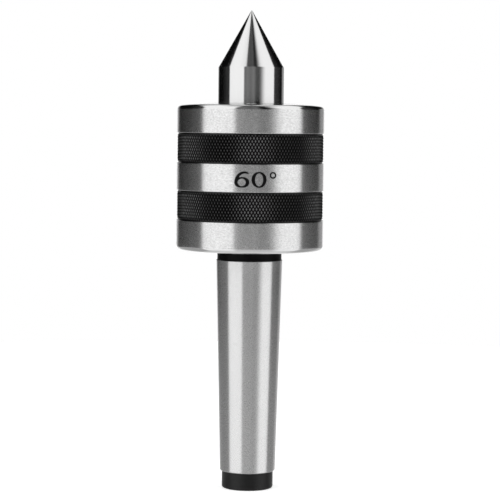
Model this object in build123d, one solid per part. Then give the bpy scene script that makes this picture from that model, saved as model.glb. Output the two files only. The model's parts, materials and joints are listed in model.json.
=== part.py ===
"""Live centre with a Morse taper 3 shank, in millimetres.

The axis of rotation is Z and the point looks up. The origin is on the axis, in the taper's gauge
plane, where the shank measures gauge_d across. Going up from there come the neck, the housing with
its two knurled bands, the nose of the spindle and the 60 degree point.

The housing and the shank are one piece of steel. The spindle runs in it on three bearings: a ball
bearing behind the front nut, a thrust bearing under the spindle's collar, which takes the push of
the workpiece, and a needle bearing at the rear. The front nut screws into the housing and holds
everything in. Everything that is stacked takes its height from the piece below it.
"""

import os
from math import asin, floor, pi, radians, tan

from build123d import *

# ---- Shank: Morse taper 3 --------------------------------------------------------------------
gauge_d = 23.825  # diameter in the gauge plane
taper_rate = 1 / 19.922  # change of diameter per millimetre of length
taper_above_gauge = 5.0
taper_below_gauge = 72.1
stub_drop = 0.75  # end stub under the taper's small end, on radius
taper_end_bevel = 0.3
stub_len = 6.4
stub_chamfer = 1.0
neck_len = 3.8  # relief between the taper and the housing
neck_relief = 0.34  # how far the neck lies under the taper, on radius
centre_pilot_d = 4.0  # centre hole in the end, which the shank was ground on
centre_pilot_depth = 9.0
centre_cone_d = 8.5
centre_cone_angle = 60.0
drill_point_angle = 118.0

# ---- Spindle ---------------------------------------------------------------------------------
nose_d = 24.0
nose_len = 12.9  # cylinder that shows between the front nut and the point
point_angle = 60.0  # included angle
tip_d = 0.3  # small flat on the very tip
seat_step = 0.5  # bearing seat over nose, on radius, so that the bearing passes the nose
collar_front_len = 1.0  # narrow step of the collar, which touches the inner race only
collar_rear_len = 3.0
collar_rear_height = 5.5  # collar over bearing seat, on radius
pilot_short = 0.2  # the thrust washer's pilot ends this far inside the washer
waist_d = 20.0  # shaft between the thrust bearing and the rear journal
journal_d = 12.0
journal_chamfer = 0.5
spindle_centre_d = 4.0  # centre hole in the spindle's rear end
spindle_centre_depth = 5.0

# ---- Front ball bearing: 25 x 42 x 9 ---------------------------------------------------------
front_width = 9.0
front_ball_d = 5.0
front_ball_bridge = 4.5  # least space between two balls
race_shoulder = 0.23  # height of a raceway's shoulder, as a share of the ball's diameter
groove_conformity = 0.52  # raceway groove radius, as a share of the ball's diameter
ball_gap = 0.02  # running clearance between a ball and each groove
pocket_gap = 0.1  # clearance of a ball or roller in its cage
front_cage_wall = 1.3
front_cage_back = 0.6  # cage left behind the balls
front_cage_prong = 1.3  # how far the prongs reach past the balls' centres
shield_t = 0.4
shield_inset = 0.1  # shield below the race's end face
shield_seat = 0.5  # depth of the shield's seat in the outer race, on radius
shield_gap = 0.2  # between shield and inner race

# ---- Thrust ball bearing: 25 x 42 x 11 -------------------------------------------------------
thrust_height = 11.0
thrust_washer_t = 3.5
thrust_ball_d = 6.35
thrust_ball_bridge = 1.65
ball_side_room = 1.075  # from a thrust ball to the bearing's bore and to its outside
thrust_groove_conformity = 0.54
thrust_outer_gap = 0.3  # turning shaft washer to housing bore
thrust_inner_gap = 0.5  # standing housing washer to the bearing's bore size
thrust_cage_t = 2.2
thrust_cage_rim = 0.4  # cage left inside and outside the ball pockets

# ---- Rear needle bearing: 12 x 18 x 12 -------------------------------------------------------
cup_len = 12.0
cup_wall = 0.97
needle_d = 2.0
needle_bridge = 1.1
needle_gap = 0.015
needle_lip_t = 0.8
needle_lip_gap = 0.5  # cup lip to journal
needle_end_gap = 0.3
needle_cage_gap = 0.5  # cage to journal and to cup

# ---- Housing and front nut -------------------------------------------------------------------
housing_wall = 4.75  # outside the thread
rear_wall = 3.2
journal_end_gap = 1.5
needle_below = 1.5  # journal that sticks out under the needle bearing
thrust_to_needle = 2.0
thrust_shoulder = 1.5  # shoulder's mouth over bearing seat, on radius
thread_step = 1.0  # thread over bearing seat, on radius
rim_radius = 1.6  # rounding of the housing's two rims
rim_chamfer = 0.3  # mouth of the thread
front_land = 10.1
band_len = 10.8  # knurled band with its two relief grooves
mid_land = 9.9
knurl_drop = 0.25  # knurl crests under the ground lands, on radius
groove_drop = 0.6  # relief grooves under the ground lands, on radius
groove_w = 0.6
shim_t = 0.5
shim_gap = 0.3
crown_angle = 3.0  # housing face and nut face rise towards the nose by this
nut_len = 7.8
nut_chamfer = 0.3
nut_gap = 0.3  # nut bore to nose
seal_section = 4.0  # seal's outer radius less nose radius
seal_depth = 4.5  # seal seat in the nut
seal_len = 4.0
seal_case_t = 0.6
seal_web_t = 0.9
seal_lip_root = 1.3  # lip's back over the nose, on radius
seal_spring_d = 0.9
seal_lip_gap = 0.05
spanner_holes = 4
spanner_hole_d = 3.5
spanner_hole_depth = 4.0
spanner_hole_wall = 1.5  # between a spanner hole and the thread

# ---- Radii that follow -----------------------------------------------------------------------
nose_r = nose_d / 2
seat_r = nose_r + seat_step
front_outer_r = seat_r + thrust_ball_d + 2 * ball_side_room
front_pitch_r = (seat_r + front_outer_r) / 2
front_ball_r = front_ball_d / 2
inner_shoulder_r = front_pitch_r - front_ball_r + race_shoulder * front_ball_d
outer_shoulder_r = front_pitch_r + front_ball_r - race_shoulder * front_ball_d
thrust_ball_r = thrust_ball_d / 2
needle_r = needle_d / 2
journal_r = journal_d / 2
needle_pitch_r = journal_r + needle_r + needle_gap
cup_inner_r = needle_pitch_r + needle_r + needle_gap
cup_outer_r = cup_inner_r + cup_wall
thread_r = front_outer_r + thread_step
housing_r = thread_r + housing_wall
seal_outer_r = nose_r + seal_section
taper_top_r = (gauge_d + taper_above_gauge * taper_rate) / 2
taper_end_r = (gauge_d - taper_below_gauge * taper_rate) / 2
neck_r = taper_top_r - neck_relief
stub_r = taper_end_r - stub_drop

# ---- Heights that follow, from the rear wall up ----------------------------------------------
rear_z = taper_above_gauge + neck_len
bore_floor_z = rear_z + rear_wall
journal_end_z = bore_floor_z + journal_end_gap
cup_z = journal_end_z + needle_below
cup_top_z = cup_z + cup_len
thrust_z = cup_top_z + thrust_to_needle
thrust_top_z = thrust_z + thrust_height
front_bearing_z = thrust_top_z + collar_rear_len + collar_front_len
front_bearing_top_z = front_bearing_z + front_width
nut_z = front_bearing_top_z + shim_t
front_z = nut_z + nut_len
nut_edge_z = front_z + (housing_r - thread_r) * tan(radians(crown_angle))
nut_face_z = front_z + (housing_r - nose_r - nut_gap) * tan(radians(crown_angle))
point_z = nut_face_z + nose_len
tip_z = point_z + (nose_r - tip_d / 2) / tan(radians(point_angle / 2))
taper_end_z = -taper_below_gauge
shank_end_z = taper_end_z - stub_len
thrust_mid_z = thrust_z + thrust_height / 2
front_mid_z = front_bearing_z + front_width / 2
needle_mid_z = cup_z + cup_len / 2
band_tops = [front_z - front_land, front_z - front_land - band_len - mid_land]


overcut = 1.0  # how far a cutting solid reaches past the face that it opens


def turned(*outline):
    """A solid of revolution about Z from (radius, height) points."""
    points = [(radius, 0, height) for radius, height in outline]
    return revolve(make_face(Polyline(*points, close=True)), Axis.Z)


def ring(inner_r, outer_r, low_z, high_z):
    return turned((inner_r, low_z), (outer_r, low_z), (outer_r, high_z), (inner_r, high_z))


def torus_at(centre_r, centre_z, tube_r):
    return Pos(0, 0, centre_z) * Torus(centre_r, tube_r)


def edges_at(solid, radius, height):
    """The circular edges round the axis at one radius and height."""
    near = 1e-3
    return [
        edge
        for edge in solid.edges().filter_by(GeomType.CIRCLE)
        if abs(edge.radius - radius) < near and abs(edge.arc_center.Z - height) < near
    ]


def spaced(count):
    """Equal angles round the axis, in degrees."""
    return [360 * i / count for i in range(count)]


def fitting_count(radius, width, bridge):
    """How many pieces of this width fit round a circle with at least a bridge between them."""
    return floor(pi / asin((width + bridge) / 2 / radius))


front_ball_count = fitting_count(front_pitch_r, front_ball_d, front_ball_bridge)
thrust_ball_count = fitting_count(front_pitch_r, thrust_ball_d, thrust_ball_bridge)
needle_count = fitting_count(needle_pitch_r, needle_d, needle_bridge)


def around(shape, count, radius, height):
    """Copies of a shape round the axis, as one compound of separate solids."""
    return Compound([Rot(0, 0, a) * Pos(radius, 0, height) * shape for a in spaced(count)])


# ---- Housing with the shank ------------------------------------------------------------------
def centre_hole(end_z, pilot_d, depth, cone_d):
    """A centre drill's hole, going up from a flat end, as the solid to cut."""
    slope = tan(radians(centre_cone_angle / 2))
    cone_h = (cone_d - pilot_d) / 2 / slope
    tip_h = pilot_d / 2 / tan(radians(drill_point_angle / 2))
    return turned(
        (0, end_z - overcut),
        (cone_d / 2 + overcut * slope, end_z - overcut),
        (pilot_d / 2, end_z + cone_h),
        (pilot_d / 2, end_z + depth),
        (0, end_z + depth + tip_h),
    )


def make_housing_with_shank():
    outside = turned(
        (0, shank_end_z),
        (stub_r - stub_chamfer, shank_end_z),
        (stub_r, shank_end_z + stub_chamfer),
        (stub_r, taper_end_z),
        (taper_end_r - taper_end_bevel, taper_end_z),
        (taper_end_r, taper_end_z + taper_end_bevel),
        (taper_top_r, taper_above_gauge),
        (neck_r, taper_above_gauge),
        (neck_r, rear_z),
        (housing_r, rear_z),
        (housing_r, front_z),
        (thread_r, nut_edge_z),
        (0, nut_edge_z),
    )
    outside = fillet(edges_at(outside, housing_r, rear_z), rim_radius)
    outside = fillet(edges_at(outside, housing_r, front_z), rim_radius)
    # Each band is a shallow recess with a plain ridge in it, at the height of the knurl's crests.
    crest_r = housing_r - knurl_drop
    relief_r = housing_r - groove_drop
    for top_z in band_tops:
        low_z = top_z - band_len
        outside -= turned(
            (relief_r, low_z),
            (housing_r + overcut, low_z),
            (housing_r + overcut, top_z),
            (relief_r, top_z),
            (relief_r, top_z - groove_w),
            (crest_r, top_z - groove_w),
            (crest_r, low_z + groove_w),
            (relief_r, low_z + groove_w),
        )
    shoulder_r = seat_r + thrust_shoulder
    inside = turned(
        (0, bore_floor_z),
        (cup_outer_r, bore_floor_z),
        (cup_outer_r, cup_top_z),
        (shoulder_r, thrust_z - thrust_to_needle / 2),
        (shoulder_r, thrust_z),
        (front_outer_r, thrust_z),
        (front_outer_r, nut_z),
        (thread_r, nut_z),
        (thread_r, nut_edge_z - rim_chamfer),
        (thread_r + rim_chamfer, nut_edge_z),
        (thread_r + rim_chamfer, nut_edge_z + overcut),
        (0, nut_edge_z + overcut),
    )
    body = outside - inside
    return body - centre_hole(shank_end_z, centre_pilot_d, centre_pilot_depth, centre_cone_d)


def make_front_nut():
    nut = turned(
        (nose_r + nut_gap, nut_z + seal_depth),
        (nose_r + nut_gap, nut_face_z),
        (thread_r - nut_chamfer, nut_edge_z),
        (thread_r, nut_edge_z - nut_chamfer),
        (thread_r, nut_z),
        (seal_outer_r, nut_z),
        (seal_outer_r, nut_z + seal_depth),
    )
    hole_r = spanner_hole_d / 2
    circle_r = thread_r - spanner_hole_wall - hole_r
    hole = Cylinder(hole_r, 2 * spanner_hole_depth)
    for angle in spaced(spanner_holes):
        nut -= Rot(0, 0, angle) * Pos(circle_r, 0, nut_edge_z) * hole
    return nut


def make_preload_shim():
    return ring(outer_shoulder_r + shim_gap, front_outer_r - shim_gap, front_bearing_top_z, nut_z)


# ---- Nose seal -------------------------------------------------------------------------------
seal_z = nut_z + seal_depth - seal_len
seal_top_z = nut_z + seal_depth
seal_back_z = seal_top_z - seal_case_t
seal_lip_z = (seal_z + seal_back_z) / 2
seal_case_r = seal_outer_r - seal_case_t
seal_root_r = nose_r + seal_lip_root


def make_nose_seal_case():
    """An L-shaped steel ring, pressed into the nut."""
    return turned(
        (seal_case_r, seal_z),
        (seal_outer_r, seal_z),
        (seal_outer_r, seal_top_z),
        (seal_root_r, seal_top_z),
        (seal_root_r, seal_back_z),
        (seal_case_r, seal_back_z),
    )


def make_nose_seal_lip():
    """Rubber web under the case's flange, with a lip that comes down to a point at the nose."""
    lip_root_r = nose_r + seal_lip_root / 2
    lip = turned(
        (seal_case_r, seal_back_z),
        (lip_root_r, seal_back_z),
        (nose_r + seal_lip_gap, seal_lip_z),
        (lip_root_r, seal_z + seal_case_t),
        (seal_root_r, seal_z + seal_case_t),
        (seal_root_r, seal_back_z - seal_web_t),
        (seal_case_r, seal_back_z - seal_web_t),
    )
    return lip - make_nose_seal_spring()


def make_nose_seal_spring():
    """Garter spring in a groove of the lip's back, as a plain ring."""
    return torus_at(seal_root_r, seal_lip_z, seal_spring_d / 2)


# ---- Spindle ---------------------------------------------------------------------------------
def make_spindle():
    collar_r = seat_r + collar_rear_height
    collar_front_r = inner_shoulder_r - shield_gap
    pilot_z = thrust_top_z - thrust_washer_t + pilot_short
    waist_z = cup_top_z + thrust_to_needle / 2
    shaft = turned(
        (0, journal_end_z),
        (journal_r - journal_chamfer, journal_end_z),
        (journal_r, journal_end_z + journal_chamfer),
        (journal_r, waist_z),
        (waist_d / 2, waist_z),
        (waist_d / 2, pilot_z),
        (seat_r, pilot_z),
        (seat_r, thrust_top_z),
        (collar_r, thrust_top_z),
        (collar_r, thrust_top_z + collar_rear_len),
        (collar_front_r, thrust_top_z + collar_rear_len),
        (collar_front_r, front_bearing_z),
        (seat_r, front_bearing_z),
        (seat_r, front_bearing_top_z),
        (nose_r, front_bearing_top_z + seat_step / 2),
        (nose_r, point_z),
        (tip_d / 2, tip_z),
        (0, tip_z),
    )
    pilot_d = spindle_centre_d / 2
    return shaft - centre_hole(journal_end_z, pilot_d, spindle_centre_depth, spindle_centre_d)


# ---- Front ball bearing ----------------------------------------------------------------------
front_groove_r = groove_conformity * front_ball_d
inner_groove_r = front_pitch_r - front_ball_r - ball_gap + front_groove_r
outer_groove_r = front_pitch_r + front_ball_r + ball_gap - front_groove_r


def make_front_inner_race():
    race = ring(seat_r, inner_shoulder_r, front_bearing_z, front_bearing_top_z)
    return race - torus_at(inner_groove_r, front_mid_z, front_groove_r)


def make_front_outer_race():
    race = ring(outer_shoulder_r, front_outer_r, front_bearing_z, front_bearing_top_z)
    race -= torus_at(outer_groove_r, front_mid_z, front_groove_r)
    seat_h = shield_inset + shield_t
    shield_outer_r = outer_shoulder_r + shield_seat
    inner_r = outer_shoulder_r - overcut
    race -= ring(inner_r, shield_outer_r, front_bearing_top_z - seat_h, front_bearing_top_z + overcut)
    race -= ring(inner_r, shield_outer_r, front_bearing_z - overcut, front_bearing_z + seat_h)
    return race


def make_front_shield(low_z):
    return ring(inner_shoulder_r + shield_gap, outer_shoulder_r + shield_seat, low_z, low_z + shield_t)


def make_front_balls():
    return around(Sphere(front_ball_r), front_ball_count, front_pitch_r, front_mid_z)


def make_front_cage():
    """Moulded crown cage: a ring behind the balls, with prongs between them."""
    pocket_r = front_ball_r + pocket_gap
    half_wall = front_cage_wall / 2
    cage = ring(
        front_pitch_r - half_wall,
        front_pitch_r + half_wall,
        front_mid_z - pocket_r - front_cage_back,
        front_mid_z + front_cage_prong,
    )
    for angle in spaced(front_ball_count):
        cage -= Rot(0, 0, angle) * Pos(front_pitch_r, 0, front_mid_z) * Sphere(pocket_r)
    return cage


# ---- Thrust ball bearing ---------------------------------------------------------------------
thrust_groove_r = thrust_groove_conformity * thrust_ball_d
thrust_groove_shift = thrust_groove_r - thrust_ball_r - ball_gap


def make_thrust_shaft_washer():
    washer = ring(seat_r, front_outer_r - thrust_outer_gap, thrust_top_z - thrust_washer_t, thrust_top_z)
    return washer - torus_at(front_pitch_r, thrust_mid_z - thrust_groove_shift, thrust_groove_r)


def make_thrust_housing_washer():
    washer = ring(seat_r + thrust_inner_gap, front_outer_r, thrust_z, thrust_z + thrust_washer_t)
    return washer - torus_at(front_pitch_r, thrust_mid_z + thrust_groove_shift, thrust_groove_r)


def make_thrust_balls():
    return around(Sphere(thrust_ball_r), thrust_ball_count, front_pitch_r, thrust_mid_z)


def make_thrust_cage():
    pocket_r = thrust_ball_r + pocket_gap
    low_z = thrust_mid_z - thrust_cage_t / 2
    inner_r = front_pitch_r - pocket_r - thrust_cage_rim
    outer_r = front_pitch_r + pocket_r + thrust_cage_rim
    cage = ring(inner_r, outer_r, low_z, low_z + thrust_cage_t)
    for angle in spaced(thrust_ball_count):
        pocket = Cylinder(pocket_r, 2 * thrust_cage_t)
        cage -= Rot(0, 0, angle) * Pos(front_pitch_r, 0, thrust_mid_z) * pocket
    return cage


# ---- Rear needle bearing ---------------------------------------------------------------------
needle_room = cup_len - 2 * needle_lip_t
needle_len = needle_room - 2 * needle_end_gap - 2 * needle_lip_t


def make_needle_cup():
    """Drawn cup whose ends are turned in to hold the needles."""
    cup = ring(journal_r + needle_lip_gap, cup_outer_r, cup_z, cup_top_z)
    return cup - ring(journal_r, cup_inner_r, cup_z + needle_lip_t, cup_top_z - needle_lip_t)


def make_needle_rollers():
    roller = Cylinder(needle_r, needle_len)
    roller = chamfer(roller.edges().filter_by(GeomType.CIRCLE), needle_r / 5)
    return around(roller, needle_count, needle_pitch_r, needle_mid_z)


def make_needle_cage():
    half = needle_room / 2 - needle_end_gap
    inner_r = journal_r + needle_cage_gap
    outer_r = cup_inner_r - needle_cage_gap
    cage = ring(inner_r, outer_r, needle_mid_z - half, needle_mid_z + half)
    slot = Box(needle_d, needle_d + 2 * pocket_gap, needle_len + 2 * pocket_gap)
    for angle in spaced(needle_count):
        cage -= Rot(0, 0, angle) * Pos(needle_pitch_r, 0, needle_mid_z) * slot
    return cage


parts = {
    "housing_with_shank": make_housing_with_shank(),
    "front_nut": make_front_nut(),
    "preload_shim": make_preload_shim(),
    "nose_seal_case": make_nose_seal_case(),
    "nose_seal_lip": make_nose_seal_lip(),
    "nose_seal_spring": make_nose_seal_spring(),
    "spindle": make_spindle(),
    "front_bearing_inner_race": make_front_inner_race(),
    "front_bearing_outer_race": make_front_outer_race(),
    "front_bearing_front_shield": make_front_shield(front_bearing_top_z - shield_inset - shield_t),
    "front_bearing_rear_shield": make_front_shield(front_bearing_z + shield_inset),
    "front_bearing_balls": make_front_balls(),
    "front_bearing_cage": make_front_cage(),
    "thrust_bearing_shaft_washer": make_thrust_shaft_washer(),
    "thrust_bearing_housing_washer": make_thrust_housing_washer(),
    "thrust_bearing_balls": make_thrust_balls(),
    "thrust_bearing_cage": make_thrust_cage(),
    "needle_bearing_cup": make_needle_cup(),
    "needle_bearing_rollers": make_needle_rollers(),
    "needle_bearing_cage": make_needle_cage(),
}

os.makedirs("parts", exist_ok=True)
for name, shape in parts.items():
    export_step(shape, f"parts/{name}.step")

print(f"front balls {front_ball_count}, thrust balls {thrust_ball_count}, needles {needle_count}")
print(f"tip {tip_z:.2f}, front {front_z:.2f}, rear {rear_z:.2f}, shank end {shank_end_z:.2f}")
print(f"housing diameter {2 * housing_r:.2f}, stub diameter {2 * stub_r:.2f}")
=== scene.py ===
# %% [markdown]
# # A live centre, turned and knurled in numpy
# A live centre sits in the tailstock of a lathe and holds the end of the work on its point. Nearly
# every face of it is a surface of revolution, because it was made on a lathe and a grinder. So this
# lesson needs one main idea: an outline in the (radius, height) plane, carried once round the axis.
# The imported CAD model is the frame. It gives the sizes and places, and this file adds the finishes
# and the fine shapes: rounded edges, the knurl, the engraved mark and the ground steel.

# %% Load the frame
import json
import math

import bmesh
import bpy
import numpy as np
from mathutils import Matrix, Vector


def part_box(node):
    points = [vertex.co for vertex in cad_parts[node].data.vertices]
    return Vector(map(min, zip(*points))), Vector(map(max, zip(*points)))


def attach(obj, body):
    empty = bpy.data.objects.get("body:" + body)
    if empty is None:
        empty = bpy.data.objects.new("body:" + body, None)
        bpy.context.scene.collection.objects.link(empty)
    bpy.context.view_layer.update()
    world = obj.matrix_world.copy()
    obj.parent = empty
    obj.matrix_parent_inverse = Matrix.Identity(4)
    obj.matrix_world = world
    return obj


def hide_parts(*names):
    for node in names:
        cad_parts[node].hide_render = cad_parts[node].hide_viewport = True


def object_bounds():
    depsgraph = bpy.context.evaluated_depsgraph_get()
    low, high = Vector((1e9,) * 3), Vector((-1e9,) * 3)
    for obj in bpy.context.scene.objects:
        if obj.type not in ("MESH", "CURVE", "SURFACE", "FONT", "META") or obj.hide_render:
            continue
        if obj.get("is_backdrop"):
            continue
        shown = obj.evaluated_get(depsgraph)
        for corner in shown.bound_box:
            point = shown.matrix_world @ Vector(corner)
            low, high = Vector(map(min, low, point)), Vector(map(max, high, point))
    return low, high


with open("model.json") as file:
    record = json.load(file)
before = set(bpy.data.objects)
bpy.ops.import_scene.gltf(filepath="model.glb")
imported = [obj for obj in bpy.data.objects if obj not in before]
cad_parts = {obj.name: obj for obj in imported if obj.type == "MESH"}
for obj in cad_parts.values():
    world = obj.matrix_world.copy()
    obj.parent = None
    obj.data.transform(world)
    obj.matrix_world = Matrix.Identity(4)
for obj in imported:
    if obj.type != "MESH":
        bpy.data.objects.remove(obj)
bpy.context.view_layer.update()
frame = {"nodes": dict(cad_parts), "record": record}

MM = 0.001  # Blender works in metres, and the outlines below are in millimetres

# %% [markdown]
# ## Reading sizes off the frame
# Each CAD node has a box, and on a round object a box is two sizes at once: half its width is an
# outer radius, and its lowest and highest points are heights. One small helper reads them, so most
# of the outlines below follow the CAD model and only the finer steps are written down here.


# %% Radius and heights of a CAD node
def size_of(node):
    """Outer radius, lowest and highest height of a CAD node, in millimetres."""
    low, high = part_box(node)
    return high.x / MM, low.z / MM, high.z / MM


HOUSING_R, SHANK_END_Z, FRONT_RIM_Z = size_of("housing_with_shank")
BORE_R, FRONT_BEARING_Z, FRONT_BEARING_TOP_Z = size_of("front_bearing_outer_race")
_, THRUST_Z, _ = size_of("thrust_bearing_housing_washer")
_, _, THRUST_TOP_Z = size_of("thrust_bearing_shaft_washer")
CUP_R, CUP_Z, CUP_TOP_Z = size_of("needle_bearing_cup")
THREAD_R, NUT_Z, NUT_FACE_Z = size_of("front_nut")
SEAL_R, _, SEAL_TOP_Z = size_of("nose_seal_case")
COLLAR_R, JOURNAL_END_Z, TIP_Z = size_of("spindle")
print(f"housing radius {HOUSING_R:.2f}, point at {TIP_Z:.2f}, shank end at {SHANK_END_Z:.2f}")

# %% [markdown]
# ## Three tools for shapes
# A turned edge is never perfectly sharp: even a ground one has a tiny round that catches a line of
# light. Modelling it beats a Bevel modifier here, because every edge can have its own radius and
# the mesh stays a clean grid. `rounded` puts an arc in each corner of an outline, `lathe` carries
# the outline round the axis, and `add_piece` puts the arrays into a mesh in one call.

# %% An outline with rounded corners
ARC_STEPS = 4
GUARD = 0.35  # guard points stand this share of the radius outside each arc


def rounded(corners, open_ends=False):
    """An outline through corners (radius, height, rounding), as an array of points.

    u and v are the unit directions into and out of a corner, and turn is the angle from u to v. The
    arc touches both sides at r tan(turn / 2) from the corner. Its centre lies r along the normal of
    u, and each arc point is the centre minus that normal, turned by a share of the turn. Guard
    points just outside the arc keep the smooth shading of the flat beside it flat.
    """
    table = np.array(corners, float)
    corner = table[:, :2]
    radius = table[:, 2:]
    u = corner - np.roll(corner, 1, axis=0)
    v = np.roll(corner, -1, axis=0) - corner
    u = u / np.linalg.norm(u, axis=1, keepdims=True)
    v = v / np.linalg.norm(v, axis=1, keepdims=True)
    turn = np.arctan2(u[:, :1] * v[:, 1:] - u[:, 1:] * v[:, :1], (u * v).sum(1, keepdims=True))
    reach = radius * np.tan(np.abs(turn) / 2)
    normal = np.sign(turn) * np.stack([-u[:, 1], u[:, 0]], axis=1)
    centre = corner - reach * u + radius * normal
    angle = turn * np.linspace(0, 1, ARC_STEPS + 1)
    arm_x = np.sin(angle) * normal[:, 1:] - np.cos(angle) * normal[:, :1]
    arm_y = -np.sin(angle) * normal[:, :1] - np.cos(angle) * normal[:, 1:]
    arc = centre[:, None] + radius[:, None] * np.stack([arm_x, arm_y], axis=2)
    before = corner - (reach + GUARD * radius) * u
    after = corner + (reach + GUARD * radius) * v
    blocks = np.concatenate([before[:, None], arc, after[:, None]], axis=1)
    if open_ends:
        return np.vstack([corner[:1], blocks[1:-1].reshape(-1, 2), corner[-1:]])
    return blocks.reshape(-1, 2)


# %% A surface of revolution
SEGMENTS = 192


def grid_quads(rows, columns, joined):
    """Four-cornered faces of a grid whose columns go round.

    Point k lies in row k // columns. A face joins a point, the one beside it and the two above
    them. With joined, the last row is tied to the first as well.
    """
    row = np.arange(rows if joined else rows - 1)[:, None]
    column = np.arange(columns)[None, :]
    above = (row + 1) % rows
    beside = (column + 1) % columns
    here = row * columns
    there = above * columns
    corners = np.broadcast_arrays(here + column, here + beside, there + beside, there + column)
    return np.stack(corners, axis=2).reshape(-1, 4)


def lathe(outline, segments=SEGMENTS):
    """Points and faces of an outline carried round Z: x = r cos a, y = r sin a, z = z.

    The outline runs counter-clockwise, so the faces point outwards. One that starts and ends on the
    axis gets a pole at each end, with a fan of triangles. Any other outline closes into a ring.
    """
    poles = outline[0, 0] == 0
    side = outline[1:-1] if poles else outline
    angle = 2 * np.pi * np.arange(segments) / segments
    x = side[:, :1] * np.cos(angle)
    y = side[:, :1] * np.sin(angle)
    z = np.broadcast_to(side[:, 1:], x.shape)
    points = np.stack([x, y, z], axis=2).reshape(-1, 3)
    faces = grid_quads(len(side), segments, joined=not poles).tolist()
    if poles:
        first = len(points)
        points = np.vstack([points, [0, 0, outline[0, 1]], [0, 0, outline[-1, 1]]])
        this = np.arange(segments)
        following = (this + 1) % segments
        last_row = first - segments
        start = np.stack([np.full(segments, first), following, this], axis=1)
        end = np.stack([last_row + this, last_row + following, np.full(segments, first + 1)], axis=1)
        faces += start.tolist() + end.tolist()
    return points, faces


# %% Arrays into a mesh
def add_piece(name, points, faces, materials, finish=None, smooth=True):
    """A mesh object at the origin, from points in millimetres; finish gives each face a material."""
    mesh = bpy.data.meshes.new(name)
    mesh.from_pydata((np.asarray(points) * MM).tolist(), [], faces)
    for material in materials:
        mesh.materials.append(material)
    if finish is not None:
        mesh.polygons.foreach_set("material_index", np.asarray(finish, np.int32))
    mesh.polygons.foreach_set("use_smooth", np.full(len(mesh.polygons), smooth))
    mesh.update()
    piece = bpy.data.objects.new(name, mesh)
    bpy.context.scene.collection.objects.link(piece)
    print(f"{name}: {len(mesh.vertices)} vertices, {len(mesh.polygons)} faces")
    return piece


# %% [markdown]
# ## Materials: two helpers
# Every material is a small tree of nodes round one Principled shader. `add_node` makes a node with
# its settings and its links in one call. Colours are written as the hex values a painter would
# pick, and `linear` turns them into the linear light that the renderer counts in.


# %% Nodes and colours
def linear(hex_colour):
    """Linear RGBA of an sRGB hex colour: ((c + 0.055) / 1.055) to the power 2.4 above a short foot."""
    c = np.array([int(hex_colour[i : i + 2], 16) for i in (1, 3, 5)]) / 255
    light = np.where(c > 0.04045, ((c + 0.055) / 1.055) ** 2.4, c / 12.92)
    return (*light.tolist(), 1.0)


def add_node(tree, kind, inputs=None, **settings):
    """One node. inputs gives a socket, by name or number, its value or the socket it is linked to."""
    node = tree.nodes.new(kind)
    for name, value in settings.items():
        setattr(node, name, value)
    for key, value in (inputs or {}).items():
        if isinstance(value, bpy.types.NodeSocket):
            tree.links.new(value, node.inputs[key])
        else:
            node.inputs[key].default_value = value
    return node


def new_material(name, **shader_values):
    """A material, its tree, its Principled shader, and Object coordinates in metres."""
    material = bpy.data.materials.new(name)
    material.use_nodes = True
    tree = material.node_tree
    shader = tree.nodes["Principled BSDF"]
    for socket, value in shader_values.items():
        shader.inputs[socket.replace("_", " ")].default_value = value
    place = add_node(tree, "ShaderNodeTexCoord").outputs["Object"]
    return material, tree, shader, place


def noise_along(tree, place, sizes_mm, detail=2.0):
    """Noise whose grains measure sizes_mm along X, Y and Z, from 0 to 1 round a middle of 0.5."""
    per_metre = [1 / (size * MM) for size in sizes_mm]
    scaled = add_node(tree, "ShaderNodeVectorMath", {0: place, 1: per_metre}, operation="MULTIPLY")
    inputs = {"Vector": scaled.outputs[0], "Scale": 1.0, "Detail": detail}
    return add_node(tree, "ShaderNodeTexNoise", inputs).outputs["Fac"]


def spread(tree, value, low, high, from_low=0.3, from_high=0.7):
    """A value between from_low and from_high, mapped to between low and high."""
    inputs = {"Value": value, "From Min": from_low, "From Max": from_high, "To Min": low, "To Max": high}
    return add_node(tree, "ShaderNodeMapRange", inputs).outputs["Result"]


def blend_colours(tree, factor, low_hex, high_hex):
    """Colour between two hex colours, by a factor from 0 to 1."""
    inputs = {0: factor, 6: linear(low_hex), 7: linear(high_hex)}  # 6, 7 and output 2 are the colours
    return add_node(tree, "ShaderNodeMix", inputs, data_type="RGBA").outputs[2]


print("a middle grey, #808080, is", round(linear("#808080")[0], 4), "in linear light")


# %% [markdown]
# ## Ground steel
# The lands and the taper are hardened tool steel, finished on a cylindrical grinder. The wheel
# leaves scratches a few hundredths of a millimetre wide that run round the axis. They scatter
# light up and down but hardly sideways, so a studio lamp shows as a tall stripe with crisp sides.
# Three things give that: an anisotropic highlight that stretches along the axis, faint grinding
# lines and chatter marks as bump, and grains that differ a little in colour and in how dull they
# are. A single roughness would look like plastic foil. Real lines are too fine to show from where
# the camera stands, so the drawn ones are about ten times as wide.


# %% Steel that was ground or turned round the Z axis
def ring_lines(tree, place, pitch_mm, length_mm):
    """Lines round the axis: noise that is short along Z and long round it."""
    return noise_along(tree, place, (length_mm, length_mm, pitch_mm), detail=3.0)


def add_bump(tree, shader, height, depth_mm):
    """Bump from a height between 0 and 1 that stands for depth_mm."""
    bump = add_node(tree, "ShaderNodeBump", {"Height": height, "Distance": depth_mm * MM})
    tree.links.new(bump.outputs["Normal"], shader.inputs["Normal"])


def round_grain(tree, shader):
    """Makes highlights stretch along Z: a tangent that runs round it, turned by a quarter turn."""
    around = add_node(tree, "ShaderNodeTangent", direction_type="RADIAL", axis="Z")
    tree.links.new(around.outputs["Tangent"], shader.inputs["Tangent"])
    shader.inputs["Anisotropic Rotation"].default_value = 0.25


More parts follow.
